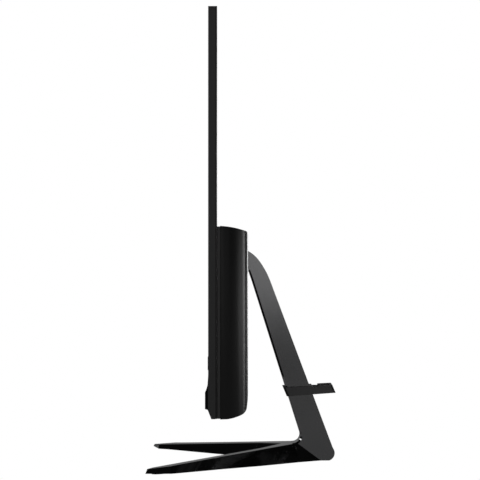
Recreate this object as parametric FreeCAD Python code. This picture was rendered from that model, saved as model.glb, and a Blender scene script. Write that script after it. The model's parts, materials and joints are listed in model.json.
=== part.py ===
"""All-in-one desktop computer on a bent bar stand with a V foot.

Frame: millimetres, +X to the right as seen from the front, the screen faces -Y, +Z up.
Origin: the middle of the floor rectangle under the whole object.
"""
import FreeCAD, Part
import math
import os
from FreeCAD import Vector

# ---- driving dimensions, display ----
WIDTH = 541.0
HALF = WIDTH / 2
BOTTOM = 65.2
HEIGHT = 366.0
TOP = BOTTOM + HEIGHT
FRONT_Y = -33.3
BEZEL_BACK = -27.0
PANEL_BACK = -25.3
EDGE_ROUND = 0.8
SCREEN_W = 527.0
SCREEN_H = 296.5
TOP_BAND = 8.5
CHIN_TOP = 98.2
CHIN_FRONT = -36.1
CHIN_EDGE_TOP = 88.7
CHIN_EDGE_LOW = 74.2
GLASS_Y = (FRONT_Y + 0.7, FRONT_Y + 1.9)
SHEETS_Y = (FRONT_Y + 2.0, FRONT_Y + 2.5)
GUIDE_Y = (FRONT_Y + 2.6, FRONT_Y + 3.7)
TRAY_Y = (FRONT_Y + 3.8, FRONT_Y + 4.8)
SKIN = 1.8

# ---- rear housing ----
HOUSE_FRONT = -22.5
HOUSE_REAR = 2.4
HOUSE_TOP = 236.5
HOUSE_LOW = 64.2
HOUSE_HALF = 262.0
WALL = 2.2
CHASSIS_BACK = -25.8
CHASSIS_T = 1.0

# ---- hinge ----
HINGE_Y = -10.0
HINGE_Z = 204.5
SHAFT_R = 4.0
RUNNING = 0.06
EAR_IN = 16.0
EAR_T = 3.0

# ---- stand ----
PAD = 1.5
BAR_HALF = 14.0
BAR_CHAMFER = 2.0
BOSS_R = 10.5
TOP_RISE = 0.095
TOP_AT_ORIGIN = 13.6
FRONT_LEAN = 0.315
REAR_LEAN = 0.375

# ---- cable clip ----
CLIP_GAP = 0.4
CLIP_WALL = 2.6
CLIP_REAR = 93.5
CLIP_LOW = 69.7

# ---- mainboard and ports ----
BOARD_X = (-215.0, -48.0)
BOARD_Z = (96.0, 180.0)
BOARD_Y = (-20.4, -18.8)
PORT_Z = 107.0
PORT_FACE = HOUSE_REAR - 0.5
PLATE_Y = (HOUSE_REAR - 1.9, HOUSE_REAR - 1.1)
SCREW_R = 1.5
FIT = 0.15
ALL_Y = (-60.0, 60.0)


# ---- shape helpers ----
def block(x, y, z):
    """A box between low and high values on each axis."""
    return Part.makeBox(x[1] - x[0], y[1] - y[0], z[1] - z[0], Vector(x[0], y[0], z[0]))


def around(centre, size):
    """Low and high values of a span by its centre and its size."""
    return (centre - size / 2, centre + size / 2)


def rod_x(radius, x, y, z):
    return Part.makeCylinder(radius, x[1] - x[0], Vector(x[0], y, z), Vector(1, 0, 0))


def rod_y(radius, x, y, z):
    return Part.makeCylinder(radius, y[1] - y[0], Vector(x, y[0], z), Vector(0, 1, 0))


def rod_z(radius, x, y, z):
    return Part.makeCylinder(radius, z[1] - z[0], Vector(x, y, z[0]), Vector(0, 0, 1))


def outline(points, place):
    """Closed wire through 2-D points. ("via", u, v) is the middle of an arc between its neighbours."""
    edges = []
    here = points[0]
    via = None
    for point in points[1:] + points[:1]:
        if point[0] == "via":
            via = point[1:]
            continue
        if via:
            edges.append(Part.Arc(place(*here), place(*via), place(*point)).toShape())
            via = None
        else:
            edges.append(Part.makeLine(place(*here), place(*point)))
        here = point
    return Part.Wire(edges)


def side_prism(points, x):
    """An outline in Y and Z, carried along X."""
    face = Part.Face(outline(points, lambda y, z: Vector(x[0], y, z)))
    return face.extrude(Vector(x[1] - x[0], 0, 0))


def plan_prism(points, z):
    """An outline in X and Y, carried along Z."""
    face = Part.Face(outline(points, lambda x, y: Vector(x, y, z[0])))
    return face.extrude(Vector(0, 0, z[1] - z[0]))


def front_prism(points, y):
    """An outline in X and Z, carried along Y."""
    face = Part.Face(outline(points, lambda x, z: Vector(x, y[0], z)))
    return face.extrude(Vector(0, y[1] - y[0], 0))


def mirrored(shape):
    return shape.mirror(Vector(0, 0, 0), Vector(1, 0, 0))


def joined(shapes):
    """One solid from touching or overlapping shapes."""
    return shapes[0].fuse(shapes[1:]).removeSplitter()


def group(shapes):
    """Separate solids kept together in one node."""
    return Part.makeCompound(shapes)


def screw(x, z, head_y, length, head_r=3.0, head_t=1.6):
    """A pan-head screw whose head sits at the rear and whose shank points to the front."""
    head = rod_y(head_r, x, (head_y, head_y + head_t), z)
    shank = rod_y(SCREW_R, x, (head_y - length, head_y), z)
    recess = rod_y(head_r * 0.3, x, (head_y + head_t * 0.5, head_y + head_t), z)
    return head.fuse(shank).cut(recess)


def save(name, shape):
    shape.exportStep("parts/" + name + ".step")


# ---- stand ----
def bar_front(z):
    """Y of the bar's front face at a height on its straight stretch."""
    return 57.7 - (z - 28.7) * FRONT_LEAN


def bar_rear(z):
    """Y of the bar's rear face at a height on its straight stretch."""
    return 86.1 - (z - 26.7) * REAR_LEAN


def bar():
    """The bent bar: out of the head, over a bend and down to the rear corner of the foot."""
    profile = [
        (60.0, PAD), (50.2, 10.0), (50.2, 18.9), ("via", 56.2, 21.4), (bar_front(28.0), 28.0),
        (bar_front(182.4), 182.4), (5.6, 192.9), (-8.0, 194.2), (HINGE_Y, HINGE_Z),
        (HINGE_Y, HINGE_Z + BOSS_R), (1.0, 214.0), ("via", 12.0, 207.4), (17.8, 200.8),
        ("via", 23.0, 192.5), (bar_rear(182.6), 182.6),
        (bar_rear(14.0), 14.0), ("via", 92.0, 6.0), (87.0, PAD),
    ]
    solid = side_prism(profile, (-BAR_HALF, BAR_HALF))
    front_edges = [e for e in solid.Edges if is_bar_front_edge(e)]
    return solid.makeChamfer(BAR_CHAMFER, front_edges)


def is_bar_front_edge(edge):
    """True for the two long edges where the bar's front face meets its sides."""
    ends = [v.Point for v in edge.Vertexes]
    on_side = all(abs(abs(p.x) - BAR_HALF) < 0.01 for p in ends)
    long_run = abs(ends[0].z - ends[-1].z) > 100
    in_front = all(p.y < bar_front(p.z) + 0.5 for p in ends)
    return on_side and long_run and in_front


def leg():
    """The right leg: a ridge-topped wedge between its footprint and a sloping top face."""
    footprint = [
        (0, 79.5), (13.9, 79.0), (29.5, 57.4), (65.5, 16.9), (93.5, -20.3), (127.0, -60.2), (133.5, -68.8),
        (133.5, -93.5), (108.5, -88.0), (105.0, -85.3), (46.1, -20.5), (20.0, 8.1), (0, 30),
    ]
    top = [
        (0, 60), (13.9, 55.5), (15.5, 51), (43, 17), (73.5, -20.5), (108, -60.5), (117, -70),
        (122, -92.0), (112.5, -87), (108.5, -82.0), (58, -20.5), (27.5, 17.5), (0, 40),
    ]
    low = Part.makePolygon([Vector(x, y, PAD) for x, y in footprint + footprint[:1]])
    high = Part.makePolygon([Vector(x, y, TOP_AT_ORIGIN + TOP_RISE * y) for x, y in top + top[:1]])
    return Part.makeLoft([low, high], True, True)


def stand_frame():
    head = rod_x(BOSS_R, (-BAR_HALF, BAR_HALF), HINGE_Y, HINGE_Z)
    whole = joined([bar(), leg(), mirrored(leg()), head])
    return whole.cut(rod_x(SHAFT_R, (-BAR_HALF, BAR_HALF), HINGE_Y, HINGE_Z))


def front_pad(side):
    """A rubber pad under a leg's tip."""
    start = Vector(side * 114, -72, 0)
    low = Part.makeCylinder(4, PAD, start)
    high = Part.makeCylinder(4, PAD, start + Vector(side * 7, -12, 0))
    across = Vector(12, side * 7, 0).normalize() * 4
    corners = [start + across, start + across + Vector(side * 7, -12, 0),
               start - across + Vector(side * 7, -12, 0), start - across, start + across]
    middle = Part.Face(Part.makePolygon(corners)).extrude(Vector(0, 0, PAD))
    return joined([low, high, middle])


def rear_pad():
    return joined([block((-8, 8), (58, 66), (0, PAD)), rod_z(4, -8, 62, (0, PAD)), rod_z(4, 8, 62, (0, PAD))])


def hinge_shaft():
    return rod_x(SHAFT_R, (-28.0, 28.0), HINGE_Y, HINGE_Z)


def shaft_ring(x, radius):
    """A washer-like ring on the hinge shaft."""
    return rod_x(radius, x, HINGE_Y, HINGE_Z).cut(rod_x(SHAFT_R, x, HINGE_Y, HINGE_Z))


def friction_washers():
    inner = shaft_ring((BAR_HALF, EAR_IN - RUNNING), 8.0)
    outer = shaft_ring((EAR_IN + EAR_T + RUNNING, EAR_IN + EAR_T + 1.2), 7.5)
    return group([inner, outer, mirrored(inner), mirrored(outer)])


def hinge_nuts():
    """A hexagon nut on each end of the shaft, against its washer."""
    low = EAR_IN + EAR_T + 1.2
    corners = [Vector(low, HINGE_Y + 7.0 * math.cos(a), HINGE_Z + 7.0 * math.sin(a))
               for a in [math.radians(60 * i) for i in range(7)]]
    nut = Part.Face(Part.makePolygon(corners)).extrude(Vector(5, 0, 0))
    nut = nut.cut(rod_x(SHAFT_R, (low, low + 5), HINGE_Y, HINGE_Z))
    return group([nut, mirrored(nut)])


def cable_clip():
    """A sleeve round the bar with a loop for cables behind it."""
    outside = [(40.7, 75.1), (90.2, 77.5), (CLIP_REAR, CLIP_LOW), (44.5, 66.1)]
    half = BAR_HALF + CLIP_GAP + CLIP_WALL
    body = side_prism(outside, (-half, half))
    low = 60.0
    high = 90.0
    inner = (-BAR_HALF - CLIP_GAP, BAR_HALF + CLIP_GAP)
    sleeve = [(bar_front(low) - CLIP_GAP, low), (bar_rear(low) + CLIP_GAP, low),
              (bar_rear(high) + CLIP_GAP, high), (bar_front(high) - CLIP_GAP, high)]
    loop_start = bar_rear(low) + CLIP_GAP + CLIP_WALL
    loop_end = CLIP_REAR - CLIP_WALL + (CLIP_LOW - low) * REAR_LEAN
    lean = (high - low) * REAR_LEAN
    loop = [(loop_start, low), (loop_end, low), (loop_end - lean, high), (loop_start - lean, high)]
    body = body.cut([side_prism(sleeve, inner), side_prism(loop, inner)])
    notch = block((-half, half), (70.4, 76.4), (75.4, 90.0))
    return body.cut(notch)


# ---- display ----
def bezel_window():
    """Low and high X and Z of the lit area."""
    top = TOP - TOP_BAND
    return (-SCREEN_W / 2, SCREEN_W / 2), (top - SCREEN_H, top)


def grown(span, by):
    return (span[0] - by, span[1] + by)


def upright_edges(shape, y):
    """The outer upright edges of a plain block at one Y."""
    return [e for e in shape.Edges if all(abs(v.Point.y - y) < 0.01 for v in e.Vertexes)
            and e.BoundBox.XLength < 0.01]


LENS_X = -4.6
LENS_Z = TOP - 4.2
SHUTTER_Z = around(LENS_Z, 3.4)
SHUTTER_X = (0.3, 8.8)
SHUTTER_TRACK = (-9.2, 9.1)


def front_bezel():
    """The moulded frame round the screen, with a band below it and a track for the shutter."""
    x, z = bezel_window()
    body = block((-HALF, HALF), (FRONT_Y, BEZEL_BACK), (CHIN_TOP, TOP))
    body = body.makeFillet(EDGE_ROUND, upright_edges(body, FRONT_Y))
    window = block(grown(x, 0.6), (FRONT_Y - 1, BEZEL_BACK + 1), grown(z, 0.6))
    hollow = block(grown(x, 4.0), (FRONT_Y + 0.7, BEZEL_BACK + 1), (z[0] - 20, TOP - 7.0))
    track = block(grown(SHUTTER_TRACK, 0.0), (FRONT_Y - 1, FRONT_Y + 0.7), grown(SHUTTER_Z, 0.15))
    camera_room = block((-22, 22), (FRONT_Y + 1.4, BEZEL_BACK + 1), (TOP - 7.2, TOP - 1.2))
    lens_hole = rod_y(1.9, LENS_X, (FRONT_Y - 1, BEZEL_BACK), LENS_Z)
    return body.cut([window, hollow, track, camera_room, lens_hole])


def stack_layer(y, inset, foot=0.0):
    """One flat layer of the display stack behind the bezel."""
    x, z = bezel_window()
    return block(grown(x, 3.8 - inset), y, (z[0] - 12 + inset + foot, z[1] + 1.2 - inset))


def led_strip():
    x, z = bezel_window()
    return block(grown(x, 2.0), GUIDE_Y, (z[0] - 11.0, z[0] - 9.6))


def webcam_lens():
    barrel = rod_y(1.85, LENS_X, (FRONT_Y + 0.8, FRONT_Y + 2.6), LENS_Z)
    dish = Part.makeSphere(2.6, Vector(LENS_X, FRONT_Y - 1.3, LENS_Z))
    return barrel.cut(dish)


def webcam_board():
    return block((-21.5, 21.5), (FRONT_Y + 2.6, FRONT_Y + 3.4), (TOP - 7.0, TOP - 1.6))


def microphones():
    y = (FRONT_Y + 1.5, FRONT_Y + 2.6)
    return group([block(around(x, 3.0), y, around(LENS_Z, 2.2)) for x in (-16, 16)])


def webcam_shutter():
    """A slide that covers the lens, with a raised rib for a fingertip."""
    plate = block(SHUTTER_X, (FRONT_Y - 0.1, FRONT_Y + 0.55), SHUTTER_Z)
    rib = block(around(sum(SHUTTER_X) / 2, 1.2), (FRONT_Y - 0.5, FRONT_Y), around(LENS_Z, 2.4))
    return joined([plate, rib])


def panel_rear_cover():
    """The thin rear cover of the display, open where the rear housing joins it."""
    body = block((-HALF + 0.2, HALF - 0.2), (BEZEL_BACK, PANEL_BACK), (BOTTOM + 0.2, TOP))
    body = body.makeFillet(EDGE_ROUND, upright_edges(body, PANEL_BACK))
    return body.cut(block((-258, 258), ALL_Y, (68, 232)))


# ---- speaker bar below the screen ----
def chin_profile(inset):
    """Side outline of the bar, moved in by a wall thickness. The back stays open."""
    return [
        (FRONT_Y + inset, CHIN_TOP - inset), ("via", -34.4 + inset, 93.2 - inset),
        (CHIN_FRONT + inset, CHIN_EDGE_TOP), (CHIN_FRONT + inset, CHIN_EDGE_LOW + inset),
        (-33.7 + inset, 73.4 + inset), (-30.5 + inset, BOTTOM + inset), (BEZEL_BACK, BOTTOM + inset),
        (BEZEL_BACK, CHIN_TOP - inset),
    ]


GRILLE_Z = (75.4, 87.6)
SPEAKER_FRONT = -29.5
END_CAP = 266.0
GRILLE_X = (24.0, END_CAP)
GRILLE_SINK = 2.2
GRILLE_Y = (CHIN_FRONT + GRILLE_SINK, CHIN_FRONT + GRILLE_SINK + 0.8)


def end_cap():
    """The raised outer end of the speaker bar, which belongs to the grille."""
    room = block((END_CAP, HALF), (CHIN_FRONT - 1, FRONT_Y - 0.2), (CHIN_EDGE_LOW - 1, CHIN_TOP))
    return side_prism(chin_profile(0.0), (END_CAP, HALF)).common(room)


def chin_cover():
    body = side_prism(chin_profile(0.0), (-HALF, HALF))
    recess = block((-END_CAP, END_CAP), (CHIN_FRONT - 1, CHIN_FRONT + GRILLE_SINK), (BOTTOM, CHIN_TOP))
    hollow = side_prism(chin_profile(SKIN), (-HALF + SKIN, HALF - SKIN))
    hollow.translate(Vector(0, GRILLE_SINK, 0))
    right = [block(GRILLE_X, GRILLE_Y, GRILLE_Z), end_cap()]
    right.append(block((110.0, 230.0), (CHIN_FRONT - 1, CHIN_FRONT + 5), grown(GRILLE_Z, -1.5)))
    return body.cut([recess, hollow] + right + [mirrored(cut) for cut in right])


def speaker_grille(side):
    plate = block((GRILLE_X[0] + 0.1, END_CAP), GRILLE_Y, grown(GRILLE_Z, -0.1))
    body = joined([plate, end_cap()])
    return body if side > 0 else mirrored(body)


def speaker(side):
    """A closed speaker box that faces the grille, with its cone in front."""
    case = block((120, 220), (SPEAKER_FRONT, -13.0), (76.0, 92.0))
    cone = Part.makeCone(6.5, 3.0, 3.0, Vector(170, SPEAKER_FRONT, 84.0), Vector(0, 1, 0))
    case = case.cut(cone)
    return case if side > 0 else mirrored(case)


# ---- rear housing ----
def housing_block(inset):
    """The housing's outer or inner form: its side outline and its plan outline, crossed."""
    rear = HOUSE_REAR - inset
    front = HOUSE_FRONT if inset == 0 else HOUSE_FRONT - 1
    side = [
        (front, HOUSE_TOP - inset), ("via", -10.0, 234.9 - inset), (-0.3 - inset, 232.2 - inset),
        ("via", rear - 0.6, 230.8 - inset), (rear, 228.5 - inset), (rear, 90.0),
        ("via", rear - 0.3, 80.0), (1.5 - inset, 75.0 + inset), ("via", 0.3 - inset, 70.7 + inset),
        (-2.6 - inset, 67.9 + inset), ("via", -9.5 - inset, 65.5 + inset),
        (-16.0 - inset, HOUSE_LOW + 0.1 + inset), (front, HOUSE_LOW + inset),
    ]
    half = HOUSE_HALF - inset
    plan = [
        (half, front), ("via", half - 4.4, -9.5), (half - 13.2, rear - 2.4), ("via", half - 14.6, rear - 0.7),
        (half - 17.0, rear), (17.0 - half, rear), ("via", 14.6 - half, rear - 0.7), (13.2 - half, rear - 2.4),
        ("via", 4.4 - half, -9.5), (-half, front),
    ]
    across = side_prism(side, grown((-HOUSE_HALF, HOUSE_HALF), 5))
    return across.common(plan_prism(plan, grown((HOUSE_LOW, HOUSE_TOP), 5)))


def vent_slots():
    """Upright slots in two upper fields and two lower fields of the rear face."""
    slots = []
    for low, high, z in ((60, 232, (186, 220)), (-232, -60, (186, 220)), (60, 180, (92, 108))):
        count = int((high - low) / 6) + 1
        for i in range(count):
            slots.append(block(around(low + 6 * i, 2.6), (HOUSE_REAR - 5, HOUSE_REAR + 1), z))
    return slots


POSTS = [(x, z) for x in (-236.0, 236.0) for z in (100.0, 212.0)]
POCKET_X = (-17.5, 17.5)
POCKET_Z = (186.0, 220.0)
DOOR_X = (-212.0, -136.0)
DOOR_Z = (120.0, 158.0)
PLATE_X = (-206.0, -52.0)
PLATE_Z = (97.0, 117.0)
BUTTON_X = 225.0
BUTTON_Y = -17.2
SWITCH_Z = HOUSE_LOW + 7.7


def rear_housing():
    shell = housing_block(0.0).cut(housing_block(WALL))
    posts = [rod_y(3.8, x, (CHASSIS_BACK, HOUSE_REAR - 1), z) for x, z in POSTS]
    shell = joined([shell] + posts)
    cuts = vent_slots()
    cuts += [rod_y(3.3, x, (HOUSE_REAR - 2, HOUSE_REAR + 1), z) for x, z in POSTS]
    cuts += [rod_y(SCREW_R + 0.1, x, (-14.2, HOUSE_REAR), z) for x, z in POSTS]
    cuts.append(block(POCKET_X, (HOUSE_REAR - 8, HOUSE_REAR + 1), POCKET_Z))
    cuts.append(block(DOOR_X, (HOUSE_REAR - 1.5, HOUSE_REAR + 1), DOOR_Z))
    cuts.append(block(grown(DOOR_X, -3), (HOUSE_REAR - 5, HOUSE_REAR + 1), grown(DOOR_Z, -5)))
    cuts.append(block(PLATE_X, (PLATE_Y[0], HOUSE_REAR + 1), PLATE_Z))
    cuts.append(block(grown(PLATE_X, -2), (HOUSE_REAR - 5, HOUSE_REAR + 1), grown(PLATE_Z, -2)))
    cuts.append(block(around(210, 7.0), (HOUSE_REAR - 5, HOUSE_REAR + 1), around(116, 3.0)))
    cuts.append(button_form(0.3, (HOUSE_LOW - 1, HOUSE_LOW + 5)))
    return shell.cut(cuts)


def seam_strip():
    """The ring that joins the rear housing to the thin display."""
    across = grown((-HOUSE_HALF, HOUSE_HALF), -1.0)
    outer = block(across, (PANEL_BACK, HOUSE_FRONT), grown((HOUSE_LOW, HOUSE_TOP), -0.5))
    return outer.cut(block((-258.5, 258.5), ALL_Y, (68.0, 232.5)))


def memory_door():
    return block(grown(DOOR_X, -0.3), (HOUSE_REAR - 1.5, HOUSE_REAR), grown(DOOR_Z, -0.3)).cut(
        rod_y(SCREW_R + 0.1, -174, ALL_Y, 122.6))


def door_screw():
    return screw(-174, 122.6, HOUSE_REAR, 1.5, head_r=2.4, head_t=0.8)


def housing_screws():
    return group([screw(x, z, HOUSE_REAR - 2, 12.0) for x, z in POSTS])


# ---- chassis and hinge ----
BRACKET_HOLES = [(x, z) for x in (-32.0, 32.0) for z in (186.0, 222.0)]
BOARD_HOLES = [(x, z) for x in (-211.0, -52.0) for z in (101.0, 175.0)]


def chassis_plate():
    body = block((-256, 256), (CHASSIS_BACK - CHASSIS_T, CHASSIS_BACK), (70, 230))
    cuts = [block((118, 222), ALL_Y, (74, 94)), block((-222, -118), ALL_Y, (74, 94))]
    cuts += [rod_y(SCREW_R + 0.1, x, ALL_Y, z) for x, z in BRACKET_HOLES]
    cuts.append(block((-100, -70), ALL_Y, (104, 108)))
    return body.cut(cuts)


def hinge_bracket():
    """A steel base with two ears that turn on the hinge shaft."""
    base_back = CHASSIS_BACK + 2.0
    base = block((-40, 40), (CHASSIS_BACK, base_back), (179, 229))
    ear_outline = [
        (base_back - 1, 188.0), (HINGE_Y - 2, HINGE_Z - 9.0), ("via", HINGE_Y + 9.0, HINGE_Z),
        (HINGE_Y - 2, HINGE_Z + 9.0), (base_back - 1, 224.0),
    ]
    ear = side_prism(ear_outline, (EAR_IN, EAR_IN + EAR_T))
    body = joined([base, ear, mirrored(ear)])
    holes = [rod_x(SHAFT_R + RUNNING, (-30, 30), HINGE_Y, HINGE_Z)]
    holes += [rod_y(SCREW_R + 0.1, x, ALL_Y, z) for x, z in BRACKET_HOLES]
    return body.cut(holes)


def bracket_screws():
    return group([screw(x, z, CHASSIS_BACK + 2.0, 3.0) for x, z in BRACKET_HOLES])


# ---- mainboard ----
def mainboard():
    body = block(BOARD_X, BOARD_Y, BOARD_Z)
    return body.cut([rod_y(SCREW_R + 0.1, x, ALL_Y, z) for x, z in BOARD_HOLES])


def board_standoffs():
    return group([rod_y(3.0, x, (CHASSIS_BACK, BOARD_Y[0]), z).cut(rod_y(SCREW_R + 0.1, x, ALL_Y, z))
                  for x, z in BOARD_HOLES])


def board_screws():
    return group([screw(x, z, BOARD_Y[1], 6.0, head_r=2.6) for x, z in BOARD_HOLES])


def on_board(x, z, low, high):
    """A block standing on the rear side of the mainboard."""
    return block(x, (BOARD_Y[1] + low, BOARD_Y[1] + high), z)


def memory_modules():
    """Two stacked modules in their sockets."""
    boards = [on_board((-208, -140.4), (122, 152), low, low + 1.2) for low in (2.0, 7.2)]
    chips = [on_board((-204 + 16 * i, -192 + 16 * i), (134, 148), low, low + 1.1)
             for i in range(4) for low in (3.2, 8.4)]
    sockets = [on_board((-208, -140.4), (119, 122), 0.0, 9.0)]
    return joined(boards + chips + sockets)


def solid_state_drive():
    card = on_board((-134, -54), (122, 144), 1.5, 2.3)
    chips = [on_board((x, x + 18), (124, 142), 2.3, 3.6) for x in (-112, -88)]
    socket = on_board((-138, -130), (121, 145), 0.0, 3.6)
    return joined([card, socket] + chips)


def wireless_card():
    card = on_board((-206, -180), (156, 178), 1.0, 1.8)
    shield = on_board((-203, -184), (158, 175), 1.8, 3.2)
    return joined([card, shield])


def processor():
    package = on_board((-122, -78), (150, 174), 0.0, 0.8)
    die = on_board((-108, -94), (156, 168), 0.8, 1.2)
    return joined([package, die])


def heat_plate():
    return on_board((-126, -74), (147, 177), 1.2, 3.4)


def heat_pipe():
    """A pipe from the heat plate, below the hinge and up to the fins."""
    y = BOARD_Y[1] + 3.4 + 3.0
    bend = 10.0
    low, high, start, rise, end = 162.0, 216.0, -124.0, 48.0, 118.0
    corner = bend * (1 - math.cos(math.pi / 4))
    edges = [
        Part.makeLine(Vector(start, y, low), Vector(rise - bend, y, low)),
        Part.Arc(Vector(rise - bend, y, low), Vector(rise - corner, y, low + corner),
                 Vector(rise, y, low + bend)).toShape(),
        Part.makeLine(Vector(rise, y, low + bend), Vector(rise, y, high - bend)),
        Part.Arc(Vector(rise, y, high - bend), Vector(rise + corner, y, high - corner),
                 Vector(rise + bend, y, high)).toShape(),
        Part.makeLine(Vector(rise + bend, y, high), Vector(end, y, high)),
    ]
    ring = Part.Wire(Part.makeCircle(3.0, Vector(start, y, low), Vector(1, 0, 0)))
    return Part.Wire(edges).makePipeShell([ring], True, False)


def coin_cell():
    return rod_y(10.0, -158, (BOARD_Y[1] + 0.4, BOARD_Y[1] + 3.6), 167)


def display_cable():
    """A flat ribbon from the display through the chassis to the front of the mainboard."""
    route = [(-26.9, 104.8), (-22.4, 104.8), (-22.4, 120.0), (BOARD_Y[0], 120.0), (BOARD_Y[0], 120.5),
             (-22.9, 120.5), (-22.9, 105.3), (-26.9, 105.3)]
    return side_prism(route, (-96, -74))


# ---- cooling ----
BLOWER_X = 92.0
BLOWER_Z = 172.0
BLOWER_Y = (-22.0, -8.0)


def blower_housing():
    """A flat case with an inlet at the rear and an outlet at the top."""
    case = block(around(BLOWER_X, 68), BLOWER_Y, (BLOWER_Z - 34, 205))
    inside = (BLOWER_Y[0] + 1.2, BLOWER_Y[1] - 1.2)
    room = rod_y(31.5, BLOWER_X, inside, BLOWER_Z)
    outlet = block((BLOWER_X - 31.5, BLOWER_X + 31.5), inside, (BLOWER_Z, 206))
    inlet = rod_y(21.0, BLOWER_X, (inside[0], BLOWER_Y[1] + 1), BLOWER_Z)
    return case.cut([room, outlet, inlet])


def blower_rotor():
    """A hub with a ring of leaning blades."""
    y = (BLOWER_Y[0] + 2.0, BLOWER_Y[1] - 2.0)
    hub = rod_y(14.0, BLOWER_X, y, BLOWER_Z)
    base = rod_y(27.0, BLOWER_X, (y[0], y[0] + 0.8), BLOWER_Z)
    blades = []
    count = 21
    for i in range(count):
        blade = block((13.5, 27.5), y, (-0.5, 0.5))
        blade.rotate(Vector(14, 0, 0), Vector(0, 1, 0), 28)
        blade.rotate(Vector(0, 0, 0), Vector(0, 1, 0), 360.0 / count * i)
        blade.translate(Vector(BLOWER_X, 0, BLOWER_Z))
        blades.append(blade)
    return joined([hub, base] + blades)


def fin_stack():
    """Thin fins joined by the sleeve that the heat pipe goes through."""
    y = (-21.0, -8.0)
    z = (208.0, 225.0)
    pipe_y = BOARD_Y[1] + 3.4 + 3.0
    fins = [block(around(60.5 + 2.5 * i, 0.5), y, z) for i in range(26)]
    sleeve = rod_x(3.8, (60.25, 123.25), pipe_y, 216.0)
    return joined([sleeve] + fins).cut(rod_x(3.02, (50, 119), pipe_y, 216.0))


# ---- storage and wireless ----
def hard_drive():
    return block((133, 213), (-24.2, -17.2), (118, 184)).cut(
        block((137, 209), (-17.8, -16), (122, 180)))


def drive_bracket():
    """A tray under the drive with two side walls."""
    floor = block((131, 215), (CHASSIS_BACK, CHASSIS_BACK + 1.2), (116, 186))
    walls = [block((131, 215), (CHASSIS_BACK, -18.0), z) for z in ((116, 117.2), (184.8, 186))]
    return joined([floor] + walls)


def antennas():
    strip = block((150, 192), (CHASSIS_BACK, CHASSIS_BACK + 1.0), (222, 229))
    return group([strip, mirrored(strip)])


# ---- ports ----
USB_X = [-192.0, -174.0, -156.0, -138.0]
HDMI_X = -117.0
NETWORK_X = -95.0
JACK_X = -77.0
INLET_X = -62.0


def port_case(x, width, height):
    """The outside of one upright port on the mainboard."""
    return block(around(x, width), (BOARD_Y[1], PORT_FACE), around(PORT_Z, height))


def usb_ports():
    """Four sockets, each a metal case with a contact tongue."""
    ports = []
    for x in USB_X:
        case = port_case(x, 14.4, 6.9)
        room = block(around(x, 12.8), (PORT_FACE - 12, PORT_FACE + 1), around(PORT_Z, 5.3))
        tongue = block(around(x, 11.2), (PORT_FACE - 12, PORT_FACE - 1), (PORT_Z + 0.2, PORT_Z + 2.0))
        ports.append(case.cut(room).fuse(tongue))
    return group(ports)


def hdmi_port():
    case = port_case(HDMI_X, 15.6, 6.6)
    mouth = [(-7.0, 2.4), (7.0, 2.4), (7.0, -0.6), (5.2, -2.4), (-5.2, -2.4), (-7.0, -0.6)]
    room = front_prism([(HDMI_X + x, PORT_Z + z) for x, z in mouth], (PORT_FACE - 9, PORT_FACE + 1))
    tongue = block(around(HDMI_X, 11.0), (PORT_FACE - 9, PORT_FACE - 1), (PORT_Z - 0.3, PORT_Z + 0.9))
    return case.cut(room).fuse(tongue)


def network_port():
    case = port_case(NETWORK_X, 16.0, 13.4)
    room = block(around(NETWORK_X, 11.8), (PORT_FACE - 13, PORT_FACE + 1), (PORT_Z - 3.6, PORT_Z + 4.4))
    latch = block(around(NETWORK_X, 6.2), (PORT_FACE - 13, PORT_FACE + 1), (PORT_Z - 5.6, PORT_Z - 3.5))
    return case.cut([room, latch])


def headphone_jack():
    case = port_case(JACK_X, 8.0, 8.0)
    return case.cut(rod_y(1.8, JACK_X, (PORT_FACE - 14, PORT_FACE + 1), PORT_Z))


def power_inlet():
    """A round well with the centre pin of a low-voltage plug."""
    case = port_case(INLET_X, 10.0, 10.0)
    well = rod_y(2.85, INLET_X, (PORT_FACE - 10, PORT_FACE + 1), PORT_Z)
    pin = rod_y(0.85, INLET_X, (PORT_FACE - 10, PORT_FACE - 1), PORT_Z)
    return case.cut(well).fuse(pin)


def port_plate():
    body = block(grown(PLATE_X, -0.1), PLATE_Y, grown(PLATE_Z, -0.1))
    openings = [(x, 14.4, 6.9) for x in USB_X]
    openings += [(HDMI_X, 15.6, 6.6), (NETWORK_X, 16.0, 13.4), (JACK_X, 8.0, 8.0), (INLET_X, 10.0, 10.0)]
    cuts = [block(around(x, w + 2 * FIT), ALL_Y, around(PORT_Z, h + 2 * FIT)) for x, w, h in openings]
    return body.cut(cuts)


# ---- power button ----
def button_form(grow, z):
    """A long rounded button outline, larger all round by a gap."""
    radius = 2.0 + grow
    ends = [rod_z(radius, BUTTON_X + dx, BUTTON_Y, z) for dx in (-5, 5)]
    middle = block(around(BUTTON_X, 10), around(BUTTON_Y, 2 * radius), z)
    return joined([middle] + ends)


def power_button():
    cap = button_form(0.0, (HOUSE_LOW + 0.2, HOUSE_LOW + 4.7))
    flange = button_form(1.2, (HOUSE_LOW + 4.1, HOUSE_LOW + 4.9))
    return joined([cap, flange])


def switch_board():
    board = block(around(BUTTON_X, 34), around(BUTTON_Y, 8), (SWITCH_Z, SWITCH_Z + 1.2))
    switch = block(around(BUTTON_X, 5), around(BUTTON_Y, 4), (SWITCH_Z - 1.4, SWITCH_Z))
    return joined([board, switch])


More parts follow.
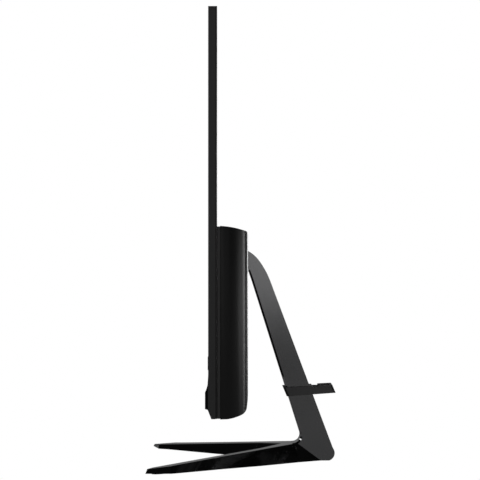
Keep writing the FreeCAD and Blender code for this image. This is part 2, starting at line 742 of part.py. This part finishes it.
def build():
    os.makedirs("parts", exist_ok=True)
    # stand
    save("stand_frame", stand_frame())
    save("front_left_pad", front_pad(-1))
    save("front_right_pad", front_pad(1))
    save("rear_pad", rear_pad())
    save("hinge_shaft", hinge_shaft())
    save("friction_washers", friction_washers())
    save("hinge_nuts", hinge_nuts())
    save("cable_clip", cable_clip())
    # display
    save("front_bezel", front_bezel())
    save("lcd_panel", stack_layer(GLASS_Y, 0.0))
    save("diffuser_sheets", stack_layer(SHEETS_Y, 0.5))
    save("light_guide", stack_layer(GUIDE_Y, 0.5, foot=2.4))
    save("backlight_tray", stack_layer(TRAY_Y, 0.3))
    save("led_strip", led_strip())
    save("panel_rear_cover", panel_rear_cover())
    save("webcam_board", webcam_board())
    save("webcam_lens", webcam_lens())
    save("microphones", microphones())
    save("webcam_shutter", webcam_shutter())
    # speaker bar
    save("chin_cover", chin_cover())
    save("left_grille", speaker_grille(-1))
    save("right_grille", speaker_grille(1))
    save("left_speaker", speaker(-1))
    save("right_speaker", speaker(1))
    # rear housing
    save("seam_strip", seam_strip())
    save("rear_housing", rear_housing())
    save("memory_door", memory_door())
    save("door_screw", door_screw())
    save("housing_screws", housing_screws())
    # chassis and hinge
    save("chassis_plate", chassis_plate())
    save("hinge_bracket", hinge_bracket())
    save("bracket_screws", bracket_screws())
    # mainboard
    save("mainboard", mainboard())
    save("board_standoffs", board_standoffs())
    save("board_screws", board_screws())
    save("processor", processor())
    save("memory_modules", memory_modules())
    save("solid_state_drive", solid_state_drive())
    save("wireless_card", wireless_card())
    save("coin_cell", coin_cell())
    save("display_cable", display_cable())
    # cooling
    save("heat_plate", heat_plate())
    save("heat_pipe", heat_pipe())
    save("fin_stack", fin_stack())
    save("blower_housing", blower_housing())
    save("blower_rotor", blower_rotor())
    # storage and wireless
    save("hard_drive", hard_drive())
    save("drive_bracket", drive_bracket())
    save("antennas", antennas())
    # ports
    save("port_plate", port_plate())
    save("usb_ports", usb_ports())
    save("hdmi_port", hdmi_port())
    save("network_port", network_port())
    save("headphone_jack", headphone_jack())
    save("power_inlet", power_inlet())
    # power button
    save("power_button", power_button())
    save("switch_board", switch_board())


build()
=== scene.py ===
"""Looks of the all-in-one computer: camera, light, floor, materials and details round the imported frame.

The frame is in metres. Detailed pieces are written in millimetres and scaled by MM.
"""
import bpy
import bmesh
import json
import math
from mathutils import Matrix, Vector


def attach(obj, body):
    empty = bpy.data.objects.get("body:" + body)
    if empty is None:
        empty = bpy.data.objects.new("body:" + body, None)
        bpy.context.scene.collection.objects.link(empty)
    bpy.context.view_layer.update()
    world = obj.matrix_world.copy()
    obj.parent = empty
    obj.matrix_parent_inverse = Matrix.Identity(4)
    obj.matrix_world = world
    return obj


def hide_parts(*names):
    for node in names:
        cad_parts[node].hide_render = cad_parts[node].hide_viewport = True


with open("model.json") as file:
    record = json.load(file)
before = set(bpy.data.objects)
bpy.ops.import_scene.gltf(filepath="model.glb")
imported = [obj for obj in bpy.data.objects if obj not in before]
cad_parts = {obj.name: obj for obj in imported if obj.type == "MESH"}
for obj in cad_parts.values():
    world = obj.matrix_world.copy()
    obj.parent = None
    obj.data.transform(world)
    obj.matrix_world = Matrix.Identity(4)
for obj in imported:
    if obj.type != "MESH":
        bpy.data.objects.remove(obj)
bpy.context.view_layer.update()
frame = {"nodes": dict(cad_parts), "record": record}
MM = 0.001


# ---- camera, floor and light ----
CAMERA_PLACE = (2.200, -0.0250, 0.2328)
CAMERA_TURN = (90, 0, 90)               # degrees: level, looking along -X
CAMERA_LENS = 163.4                     # millimetres, with the sensor below
CAMERA_SENSOR = 36.0
CAMERA_SHIFT = (0.0469, -0.0208)        # of the picture, in parts of its width
CAMERA_REACH = 50.0


def camera():
    """A long lens a little above half the object's height, square to its right side."""
    data = bpy.data.cameras.new("camera")
    data.lens = CAMERA_LENS
    data.sensor_width = CAMERA_SENSOR
    data.shift_x, data.shift_y = CAMERA_SHIFT
    data.clip_end = CAMERA_REACH
    obj = bpy.data.objects.new("camera", data)
    obj.location = CAMERA_PLACE
    obj.rotation_euler = [math.radians(turn) for turn in CAMERA_TURN]
    bpy.context.scene.collection.objects.link(obj)
    bpy.context.scene.camera = obj


def softbox(name, place, aim, size, power):
    """A rectangular light at a place, turned to face a point. The camera does not see it."""
    data = bpy.data.lights.new(name, "AREA")
    data.shape = "RECTANGLE"
    data.size, data.size_y = size
    data.energy = power
    obj = bpy.data.objects.new(name, data)
    obj.location = place
    obj.rotation_euler = (Vector(aim) - Vector(place)).to_track_quat("-Z", "Y").to_euler()
    obj.visible_camera = False
    bpy.context.scene.collection.objects.link(obj)


FLOOR_HALF = 8.0         # half the floor's width
FLOOR_GLOW = 0.11        # how bright the floor looks in reflections
ROOM_GLOW = 0.006        # how bright the room looks in reflections
SOFTBOXES = {            # place, the point it faces, width and height, watts
    "near_card": ((3.2, 0.1, 0.8), (0, 0.1, 0.8), (4.0, 1.5), 8),
    "backdrop": ((-2.6, 0, 0.7), (0, 0, 0.7), (4.0, 1.4), 3.2),
    "front_bounce": ((0.2, -0.45, 0.002), (0.2, -0.45, 1.0), (1.2, 0.6), 0.14),
    "rim_light": ((-1.2, 1.5, 0.38), (0.26, 0, 0.2), (0.6, 0.6), 34),
    "front_key": ((-0.2, -2.8, 1.25), (0, 0, 0.25), (1.6, 0.6), 9),
    "rear_light": ((0.3, 1.9, 0.3), (0.26, 0, 0.2), (0.6, 0.6), 2.5),
}


def white_floor():
    """A floor that is plain white to the camera and dim in reflections."""
    mesh = bpy.data.meshes.new("floor")
    far = FLOOR_HALF
    mesh.from_pydata([(-far, -far, 0), (far, -far, 0), (far, far, 0), (-far, far, 0)], [], [(0, 1, 2, 3)])
    floor = bpy.data.objects.new("floor", mesh)
    bpy.context.scene.collection.objects.link(floor)
    mat = bpy.data.materials.new("floor")
    mat.use_nodes = True
    nodes, links = mat.node_tree.nodes, mat.node_tree.links
    nodes.remove(nodes["Principled BSDF"])
    ray = nodes.new("ShaderNodeLightPath")
    level = nodes.new("ShaderNodeMapRange")
    level.inputs["To Min"].default_value = FLOOR_GLOW
    glow = nodes.new("ShaderNodeEmission")
    links.new(ray.outputs["Is Camera Ray"], level.inputs["Value"])
    links.new(level.outputs["Result"], glow.inputs["Strength"])
    links.new(glow.outputs[0], nodes["Material Output"].inputs[0])
    mesh.materials.append(mat)


def white_room():
    """Surroundings that are plain white to the camera and nearly black in reflections."""
    world = bpy.data.worlds.new("studio")
    world.use_nodes = True
    nodes, links = world.node_tree.nodes, world.node_tree.links
    sky = nodes["Background"]
    sky.inputs["Color"].default_value = (ROOM_GLOW, ROOM_GLOW, ROOM_GLOW, 1)
    white = nodes.new("ShaderNodeBackground")
    white.inputs["Color"].default_value = (1, 1, 1, 1)
    ray = nodes.new("ShaderNodeLightPath")
    mix = nodes.new("ShaderNodeMixShader")
    links.new(ray.outputs["Is Camera Ray"], mix.inputs[0])
    links.new(sky.outputs[0], mix.inputs[1])
    links.new(white.outputs[0], mix.inputs[2])
    links.new(mix.outputs[0], nodes["World Output"].inputs[0])
    bpy.context.scene.world = world
    bpy.context.scene.view_settings.view_transform = "Standard"


camera()
white_floor()
white_room()
for box, (place, aim, size, power) in SOFTBOXES.items():
    softbox(box, place, aim, size, power)


# ---- materials ----
CLOUD_SCALE = 14.0              # of the slow change in colour and roughness over a surface
CLOUD_DETAIL = 3.0
CLOUD_ENDS = (0.3, 0.7)         # where the two tints of the cloud begin
TINT = 0.08                     # how far the tints are from the middle colour
GRAIN_DETAIL = 2.0
GRAIN_DEPTH = 0.02 * MM


def material(name, colour, roughness, metallic=0.0, grain=0.0, grain_size=0.25, specular=0.5, spread=0.05):
    """Moulded or painted surface. grain_size is in millimetres. The roughness varies by spread."""
    mat = bpy.data.materials.new(name)
    mat.use_nodes = True
    nodes, links = mat.node_tree.nodes, mat.node_tree.links
    shader = nodes["Principled BSDF"]
    shader.inputs["Metallic"].default_value = metallic
    shader.inputs["Specular IOR Level"].default_value = specular
    place = nodes.new("ShaderNodeTexCoord")
    cloud = nodes.new("ShaderNodeTexNoise")
    cloud.inputs["Scale"].default_value = CLOUD_SCALE
    cloud.inputs["Detail"].default_value = CLOUD_DETAIL
    links.new(place.outputs["Object"], cloud.inputs["Vector"])
    ramp = nodes.new("ShaderNodeValToRGB")
    for end, place_in_cloud, shade in zip(ramp.color_ramp.elements, CLOUD_ENDS, (1 - TINT, 1 + TINT)):
        end.position = place_in_cloud
        end.color = [c * shade for c in colour] + [1]
    links.new(cloud.outputs["Fac"], ramp.inputs["Fac"])
    links.new(ramp.outputs["Color"], shader.inputs["Base Color"])
    rough = nodes.new("ShaderNodeMapRange")
    rough.inputs["To Min"].default_value = roughness - spread
    rough.inputs["To Max"].default_value = roughness + spread
    links.new(cloud.outputs["Fac"], rough.inputs["Value"])
    links.new(rough.outputs["Result"], shader.inputs["Roughness"])
    if grain:
        fine = nodes.new("ShaderNodeTexNoise")
        fine.inputs["Scale"].default_value = 1 / (grain_size * MM)
        fine.inputs["Detail"].default_value = GRAIN_DETAIL
        links.new(place.outputs["Object"], fine.inputs["Vector"])
        bump = nodes.new("ShaderNodeBump")
        bump.inputs["Strength"].default_value = grain
        bump.inputs["Distance"].default_value = GRAIN_DEPTH
        links.new(fine.outputs["Fac"], bump.inputs["Height"])
        links.new(bump.outputs["Normal"], shader.inputs["Normal"])
    return mat


FINISHES = {
    "stand_paint": material(
        "stand_paint", (0.32, 0.32, 0.325), 0.12, metallic=1.0, grain=0.3, grain_size=0.35, spread=0.02),
    "rubber": material("rubber", (0.02, 0.02, 0.02), 0.8, grain=0.4),
    "steel": material("steel", (0.55, 0.55, 0.56), 0.35, metallic=1.0, grain=0.3),
    "clip_plastic": material("clip_plastic", (0.15, 0.15, 0.151), 0.5, grain=0.5),
    "trim_plastic": material("trim_plastic", (0.16, 0.16, 0.161), 0.4, grain=0.5),
    "bezel_plastic": material("bezel_plastic", (0.067, 0.067, 0.068), 0.45, grain=0.5),
    "screen": material("screen", (0.004, 0.004, 0.005), 0.12, specular=0.6),
    "sheet_white": material("sheet_white", (0.8, 0.8, 0.8), 0.5),
    "light_plate": material("light_plate", (0.75, 0.78, 0.8), 0.1),
    "tray_metal": material("tray_metal", (0.6, 0.6, 0.62), 0.4, metallic=1.0),
    "cover_plastic": material("cover_plastic", (0.009, 0.009, 0.0095), 0.42, grain=0.6, grain_size=0.4),
    "grille_metal": material("grille_metal", (0.004, 0.004, 0.004), 0.5, specular=0.1),
    # grille_mesh's near-black colour is painted shade in the grille's holes; the metal between them is
    # WEB_COLOUR
    "grille_mesh": material("grille_mesh", (0.002, 0.002, 0.002), 0.45, specular=0.4),
    "speaker_plastic": material("speaker_plastic", (0.02, 0.02, 0.02), 0.55, grain=0.4),
    "board": material("board", (0.008, 0.06, 0.025), 0.35),
    "chip": material("chip", (0.03, 0.03, 0.03), 0.5, grain=0.4),
    "copper": material("copper", (0.72, 0.38, 0.24), 0.3, metallic=1.0),
    "fin_metal": material("fin_metal", (0.7, 0.7, 0.7), 0.35, metallic=1.0),
    "port_metal": material("port_metal", (0.55, 0.55, 0.55), 0.3, metallic=1.0),
    "lens": material("lens", (0.01, 0.01, 0.02), 0.05),
    "cable": material("cable", (0.5, 0.35, 0.08), 0.4),
}


def above(nodes, links, value, limit):
    """1 where a value is over a limit, else 0."""
    test = nodes.new("ShaderNodeMath")
    test.operation = "GREATER_THAN"
    test.inputs[1].default_value = limit
    links.new(value, test.inputs[0])
    return test.outputs[0]


def distance_from(nodes, links, value, middle):
    """How far a value is from a middle, as a positive number."""
    shift = nodes.new("ShaderNodeMath")
    shift.operation = "SUBTRACT"
    shift.inputs[1].default_value = middle
    links.new(value, shift.inputs[0])
    size = nodes.new("ShaderNodeMath")
    size.operation = "ABSOLUTE"
    links.new(shift.outputs[0], size.inputs[0])
    return size.outputs[0]


def position(nodes, links):
    """X, Y and Z of a CAD node's own points, which are in the row frame at rest."""
    place = nodes.new("ShaderNodeTexCoord")
    parts = nodes.new("ShaderNodeSeparateXYZ")
    links.new(place.outputs["Object"], parts.inputs[0])
    return parts.outputs["X"], parts.outputs["Y"], parts.outputs["Z"]


def two_tone(mat, mask, colour):
    """Mixes a second colour into a material where the mask is 1."""
    nodes, links = mat.node_tree.nodes, mat.node_tree.links
    shader = nodes["Principled BSDF"]
    mix = nodes.new("ShaderNodeMix")
    mix.data_type = "RGBA"
    mix.inputs["B"].default_value = list(colour) + [1]
    links.new(shader.inputs["Base Color"].links[0].from_socket, mix.inputs["A"])
    links.new(mask, mix.inputs["Factor"])
    links.new(mix.outputs["Result"], shader.inputs["Base Color"])


OPENING = (526.9 * MM, 296.3 * MM)      # of the frame round the screen, in width and height
OPENING_MIDDLE_Z = 274.45 * MM
BORDER = 1.6 * MM                       # how far the black border comes into the opening
BORDER_BLACK = (0.0012, 0.0012, 0.0013)


def screen_border(mat):
    """The black border of the screen round its lit area."""
    nodes, links = mat.node_tree.nodes, mat.node_tree.links
    x, _, z = position(nodes, links)
    wide = above(nodes, links, distance_from(nodes, links, x, 0.0), OPENING[0] / 2 - BORDER)
    tall = above(nodes, links, distance_from(nodes, links, z, OPENING_MIDDLE_Z), OPENING[1] / 2 - BORDER)
    both = nodes.new("ShaderNodeMath")
    both.operation = "MAXIMUM"
    links.new(wide, both.inputs[0])
    links.new(tall, both.inputs[1])
    two_tone(mat, both.outputs[0], BORDER_BLACK)


HOLE_PITCH = 1.7 * MM
HOLE_ACROSS = 1.0 * MM
HOLE_DEPTH = 0.3 * MM
WEB_COLOUR = (0.03, 0.03, 0.031)        # of the metal between the holes


def perforated(mat):
    """Rows of round holes, sunk with a bump, in lighter metal. The holes keep the finish's near-black
    colour as painted shade.
    """
    nodes, links = mat.node_tree.nodes, mat.node_tree.links
    x, _, z = position(nodes, links)
    flat = nodes.new("ShaderNodeCombineXYZ")
    links.new(x, flat.inputs["X"])
    links.new(z, flat.inputs["Y"])
    dots = nodes.new("ShaderNodeTexVoronoi")
    dots.voronoi_dimensions = "2D"
    dots.inputs["Scale"].default_value = 1 / HOLE_PITCH
    dots.inputs["Randomness"].default_value = 0.0
    links.new(flat.outputs[0], dots.inputs["Vector"])
    solid = above(nodes, links, dots.outputs["Distance"], HOLE_ACROSS / HOLE_PITCH / 2)
    two_tone(mat, solid, WEB_COLOUR)
    bump = nodes.new("ShaderNodeBump")
    bump.inputs["Distance"].default_value = HOLE_DEPTH
    links.new(solid, bump.inputs["Height"])
    links.new(bump.outputs["Normal"], nodes["Principled BSDF"].inputs["Normal"])


CLIP_LEAN = 0.423                       # how far the clip's ends lean back as they go down
CLIP_MIDDLE = 98.0 * MM                 # Y + CLIP_LEAN * Z, halfway between its dark ends
# half the length of the clip's middle, which is left without the painted shade
CLIP_LIGHT_HALF = 23.0 * MM
# colour of the painted shade on the clip's ends
CLIP_END_SHADE = (0.006, 0.006, 0.0062)


def shade_painted_ends(mat):
    """Painted shade: a darker colour on the front and rear ends of the cable clip. Both ends lean with the
    bar.
    """
    nodes, links = mat.node_tree.nodes, mat.node_tree.links
    _, y, z = position(nodes, links)
    along = nodes.new("ShaderNodeMath")
    along.operation = "MULTIPLY_ADD"
    along.inputs[1].default_value = CLIP_LEAN
    links.new(z, along.inputs[0])
    links.new(y, along.inputs[2])
    ends = above(nodes, links, distance_from(nodes, links, along.outputs[0], CLIP_MIDDLE), CLIP_LIGHT_HALF)
    two_tone(mat, ends, CLIP_END_SHADE)


# painted shade on the cable clip's front and rear ends
shade_painted_ends(FINISHES["clip_plastic"])
screen_border(FINISHES["screen"])
# painted shade in the grille holes
perforated(FINISHES["grille_mesh"])


def dress(obj, finish):
    """Gives a CAD node one finish all over."""
    obj.data.materials.clear()
    obj.data.materials.append(FINISHES[finish])


FACES_FORWARD = -0.9                    # the Y of a normal, for faces that look forward
GRILLE_RIM = -34.5 * MM                 # a Y between a grille's rim and its sunk face


def dress_front(obj, finish, level):
    """Gives another finish to the faces that look forward and lie behind a level."""
    obj.data.materials.append(FINISHES[finish])
    for face in obj.data.polygons:
        if face.normal.y < FACES_FORWARD and face.center.y > level:
            face.material_index = 1


for part in frame["record"]["subparts"]:
    dress(frame["nodes"][part["node"]], part["material_slot"])
for grille in ("left_grille", "right_grille"):
    dress_front(frame["nodes"][grille], "grille_mesh", GRILLE_RIM)


# ---- detailed pieces, in millimetres ----
HOUSE_REAR = 2.4
FRONT = -33.3
LENS = (-4.6, 427.0)                    # X and Z of the lens
LIGHT_X = 12.6
MICROPHONES_X = (-16, 16)
HOUSING_SCREWS_X = (-236.0, 236.0)
HOUSING_SCREWS_Z = (100.0, 212.0)
DOOR_SCREW = (-174, 122.6)
SHANK = 1.5                             # radius of a screw's shank
SOCKET_FACE = HOUSE_REAR - 0.5
USB_X = (-192.0, -174.0, -156.0, -138.0)
USB_CONTACTS = (-3.5, -1.0, 1.0, 3.5)
NETWORK_X = -95.0
NETWORK_CONTACTS = 8
NETWORK_PITCH = 1.02
STRIP_THICK = 0.15


def piece(name, vertices, faces, finish, body="display", smooth=True):
    """A mesh in the row frame, dressed and riding on a body."""
    mesh = bpy.data.meshes.new(name)
    mesh.from_pydata([[c * MM for c in v] for v in vertices], [], faces)
    bm = bmesh.new()
    bm.from_mesh(mesh)
    bmesh.ops.recalc_face_normals(bm, faces=bm.faces)
    bm.to_mesh(mesh)
    bm.free()
    for face in mesh.polygons:
        face.use_smooth = smooth
    mesh.materials.append(FINISHES[finish])
    obj = bpy.data.objects.new(name, mesh)
    bpy.context.scene.collection.objects.link(obj)
    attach(obj, body)
    return obj


def lathe(profile, centre, count=40):
    """Vertices and faces of a turned shape about an axis along Y. The profile is (radius, y) points."""
    vertices, faces = [], []
    for radius, y in profile:
        for i in range(count):
            turn = 2 * math.pi * i / count
            x, z = centre[0] + radius * math.cos(turn), centre[1] + radius * math.sin(turn)
            vertices.append((x, y, z))
    for ring in range(len(profile) - 1):
        for i in range(count):
            j = (i + 1) % count
            a, b = ring * count, (ring + 1) * count
            faces.append((a + i, a + j, b + j, b + i))
    faces.append(tuple(range(count)))
    last = (len(profile) - 1) * count
    faces.append(tuple(last + i for i in range(count)))
    return vertices, faces


def gather(shapes):
    """Several vertex and face lists as one."""
    vertices, faces = [], []
    for more_vertices, more_faces in shapes:
        start = len(vertices)
        vertices += more_vertices
        faces += [tuple(start + i for i in face) for face in more_faces]
    return vertices, faces


def strip(x, z, profile, width):
    """A bent metal strip that runs along Y. The profile is the (y, z) points of its upper face."""
    vertices, faces = [], []
    for y, rise in profile:
        for dx in (-width / 2, width / 2):
            vertices.append((x + dx, y, z + rise))
            vertices.append((x + dx, y, z + rise - STRIP_THICK))
    for i in range(len(profile) - 1):
        a, b = 4 * i, 4 * i + 4
        faces += [(a, a + 2, b + 2, b), (a + 1, b + 1, b + 3, a + 3)]
        faces += [(a, b, b + 1, a + 1), (a + 2, a + 3, b + 3, b + 2)]
    end = 4 * (len(profile) - 1)
    faces += [(0, 1, 3, 2), (end, end + 2, end + 3, end + 1)]
    return vertices, faces


HEAD_RINGS = 22
HEAD_COUNT = 96                         # points round each ring
HEAD_TIP = 0.02                         # radius of the innermost ring
DOME_OVER = 1.02                        # the dome's own radius, in head radii
DOME_POWER = 0.7
CROSS_HALF = 0.13                       # half the width of a cross arm, in head radii
CROSS_REACH = 0.58                      # how far an arm goes out, in head radii
CROSS_LEFT = 0.25                       # how much of the dome's height is left in the cross


def screw_head(x, z, seat, radius, height):
    """A domed head with a cross recess: rings from the rim to the middle, pressed in where the cross is."""
    rings, count = HEAD_RINGS, HEAD_COUNT
    vertices, faces = [], []
    for ring in range(rings + 1):
        r = radius * (1 - ring / rings) + HEAD_TIP
        for i in range(count):
            turn = 2 * math.pi * i / count
            u, v = r * math.cos(turn), r * math.sin(turn)
            dome = height * math.sqrt(max(0.0, 1 - (r / (radius * DOME_OVER)) ** 2)) ** DOME_POWER
            near, far = sorted((abs(u), abs(v)))
            if near < radius * CROSS_HALF and far < radius * CROSS_REACH:
                dome *= CROSS_LEFT
            vertices.append((x + u, seat + dome, z + v))
    for ring in range(rings):
        for i in range(count):
            j = (i + 1) % count
            a, b = ring * count, (ring + 1) * count
            faces.append((a + i, a + j, b + j, b + i))
    faces.append(tuple(range(count)))
    last = rings * count
    faces.append(tuple(last + i for i in range(count)))
    return vertices, faces


def screws():
    """Housing and door screws with cross recesses in their heads."""
    seat = HOUSE_REAR - 2
    shapes = []
    for x in HOUSING_SCREWS_X:
        for z in HOUSING_SCREWS_Z:
            shapes.append(screw_head(x, z, seat, radius=3.0, height=1.55))
            shapes.append(lathe([(SHANK, seat - 12), (SHANK, seat)], (x, z)))
    obj = piece("housing_screws_detail", *gather(shapes), "steel", smooth=False)
    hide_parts("housing_screws")
    head = screw_head(*DOOR_SCREW, HOUSE_REAR, radius=2.4, height=0.78)
    shank = lathe([(SHANK, HOUSE_REAR - 1.5), (SHANK, HOUSE_REAR)], DOOR_SCREW)
    obj = piece("door_screw_detail", *gather([head, shank]), "steel", smooth=False)
    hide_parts("door_screw")


def contacts():
    """Copper contact strips in the USB and network sockets."""
    face = SOCKET_FACE
    usb_path = [(face - 10, 107.15), (face - 3, 107.15), (face - 2.2, 106.95), (face - 1.4, 107.18)]
    network_path = [(face - 12.5, 109.8), (face - 9, 109.6), (face - 4, 107.2), (face - 3.2, 107.4)]
    shapes = [strip(x + dx, 0.0, usb_path, width=1.0) for x in USB_X for dx in USB_CONTACTS]
    for i in range(NETWORK_CONTACTS):
        x = NETWORK_X + (i - (NETWORK_CONTACTS - 1) / 2) * NETWORK_PITCH
        shapes.append(strip(x, 0.0, network_path, width=0.45))
    piece("port_contacts", *gather(shapes), "copper", smooth=False)


def camera_details():
    """A ring round the lens, the status light beside the shutter and two dark discs as painted shade in the
    microphone holes.
    """
    profile = ((1.84, 1.2), (1.84, 0.7), (1.75, 0.62), (1.45, 0.68), (1.2, 0.85))
    ring = [(radius, FRONT + depth) for radius, depth in profile]
    piece("lens_ring", *lathe(ring, LENS), "lens")
    # dark discs that paint the shade in the two microphone holes
    hole = [(0.45, FRONT - 0.03), (0.5, FRONT), (0.5, FRONT + 0.3)]
    holes = [lathe(hole, (x, LENS[1])) for x in MICROPHONES_X]
    piece("microphone_hole_shades", *gather(holes), "chip")
    light = [(0.4, FRONT - 0.04), (0.55, FRONT), (0.55, FRONT + 0.3)]
    piece("status_light", *lathe(light, (LIGHT_X, LENS[1])), "light_plate")


screws()
contacts()
camera_details()


# ---- softened edges ----
WELD_GAP = 0.002 * MM
BEVEL_STEPS = 3
BEVEL_ANGLE = 35                        # degrees between faces that count as an edge


def soften(name, width):
    """Rounds the hard edges of a CAD node by a width in millimetres."""
    obj = frame["nodes"][name]
    weld = obj.modifiers.new("weld", "WELD")
    weld.merge_threshold = WELD_GAP
    bevel = obj.modifiers.new("edges", "BEVEL")
    bevel.width = width * MM
    bevel.segments = BEVEL_STEPS
    bevel.limit_method = "ANGLE"
    bevel.angle_limit = math.radians(BEVEL_ANGLE)
    bevel.harden_normals = True


EDGES = {
    "cable_clip": 0.8, "chin_cover": 0.45, "front_bezel": 0.25, "panel_rear_cover": 0.25, "seam_strip": 0.4,
    "rear_housing": 0.5, "memory_door": 0.3, "power_button": 0.3, "webcam_shutter": 0.15,
    "left_grille": 0.15, "right_grille": 0.15, "port_plate": 0.1,
}
for node, width in EDGES.items():
    soften(node, width)
